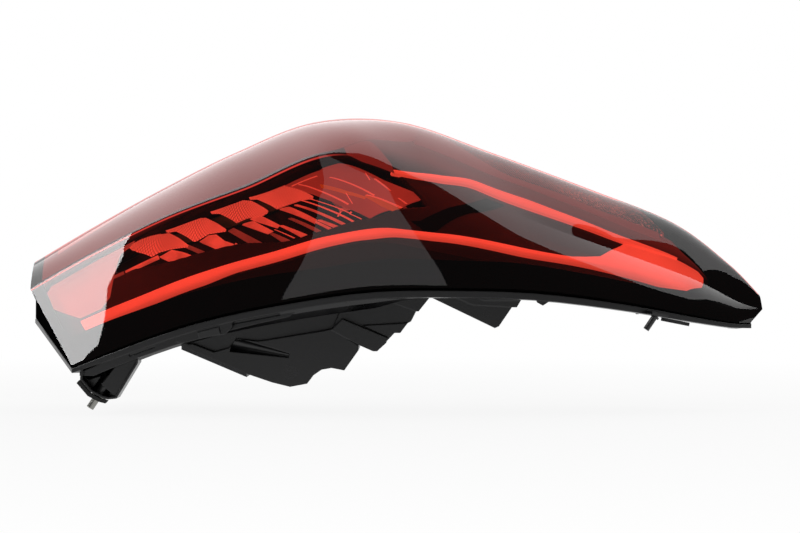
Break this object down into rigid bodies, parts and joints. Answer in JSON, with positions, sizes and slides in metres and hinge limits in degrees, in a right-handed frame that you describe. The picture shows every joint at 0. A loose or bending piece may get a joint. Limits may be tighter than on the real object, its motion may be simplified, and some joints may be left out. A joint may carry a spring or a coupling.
{
  "type": "tail light cluster",
  "caption": "Wrap-around car tail lamp: a clear red outer lens over a light bar, stop lamp cells, turn indicator and reflex panel, sealed to a black housing with leaning fixing studs.",
  "frame": {"origin": "on the axis of the main fixing stud, at the seat under its collar", "axes": "+X along the lamp from its inner end to its tip, +Y across the lamp away from the edge seen in the picture, +Z out of the car body, from the housing to the lens"},
  "size_m": [0.5044, 0.1483, 0.1974],
  "materials": {
    "clear_red": "polished, see-through",
    "sealant": "matt",
    "housing_black": "fine grain, satin",
    "bezel_dark": "metallised, smoked",
    "light_guide": "milky, diffusing",
    "stop_reflector": "metallised, with fine pillows",
    "optic_red": "textured, see-through",
    "mirror_coat": "vacuum metallised",
    "amber": "polished, see-through",
    "board_green": "solder mask",
    "diode": "clear",
    "aluminium": "as extruded",
    "reflex_red": "prisms",
    "parts_dark": "satin",
    "terminal": "tinned",
    "steel": "zinc plated",
    "soft_rubber": "matt",
    "plate_dark": "dark, satin"
  },
  "bodies": {
    "root": {"outer_lens": "clear_red", "lens_seal": "sealant", "housing": "housing_black", "inner_bezel": "bezel_dark", "tail_light_guide": "light_guide", "upper_light_strip": "light_guide", "stop_reflector": "stop_reflector", "stop_optics": "optic_red", "stop_board": "board_green", "stop_leds": "diode", "indicator_reflector": "mirror_coat", "indicator_inner_lens": "amber", "indicator_board": "board_green", "indicator_leds": "diode", "tail_board": "board_green", "tail_leds": "diode", "heat_sink": "aluminium", "reflex_reflector": "reflex_red", "driver_board": "board_green", "driver_parts": "parts_dark", "driver_screws": "steel", "connector_socket": "parts_dark", "connector_terminals": "terminal", "connector_gasket": "soft_rubber", "vent_caps": "parts_dark", "main_stud": "steel", "end_stud": "steel", "tip_pin": "parts_dark", "end_skirt": "soft_rubber", "rest_pad": "soft_rubber", "mount_plate": "plate_dark"}
  },
  "joints": []
}
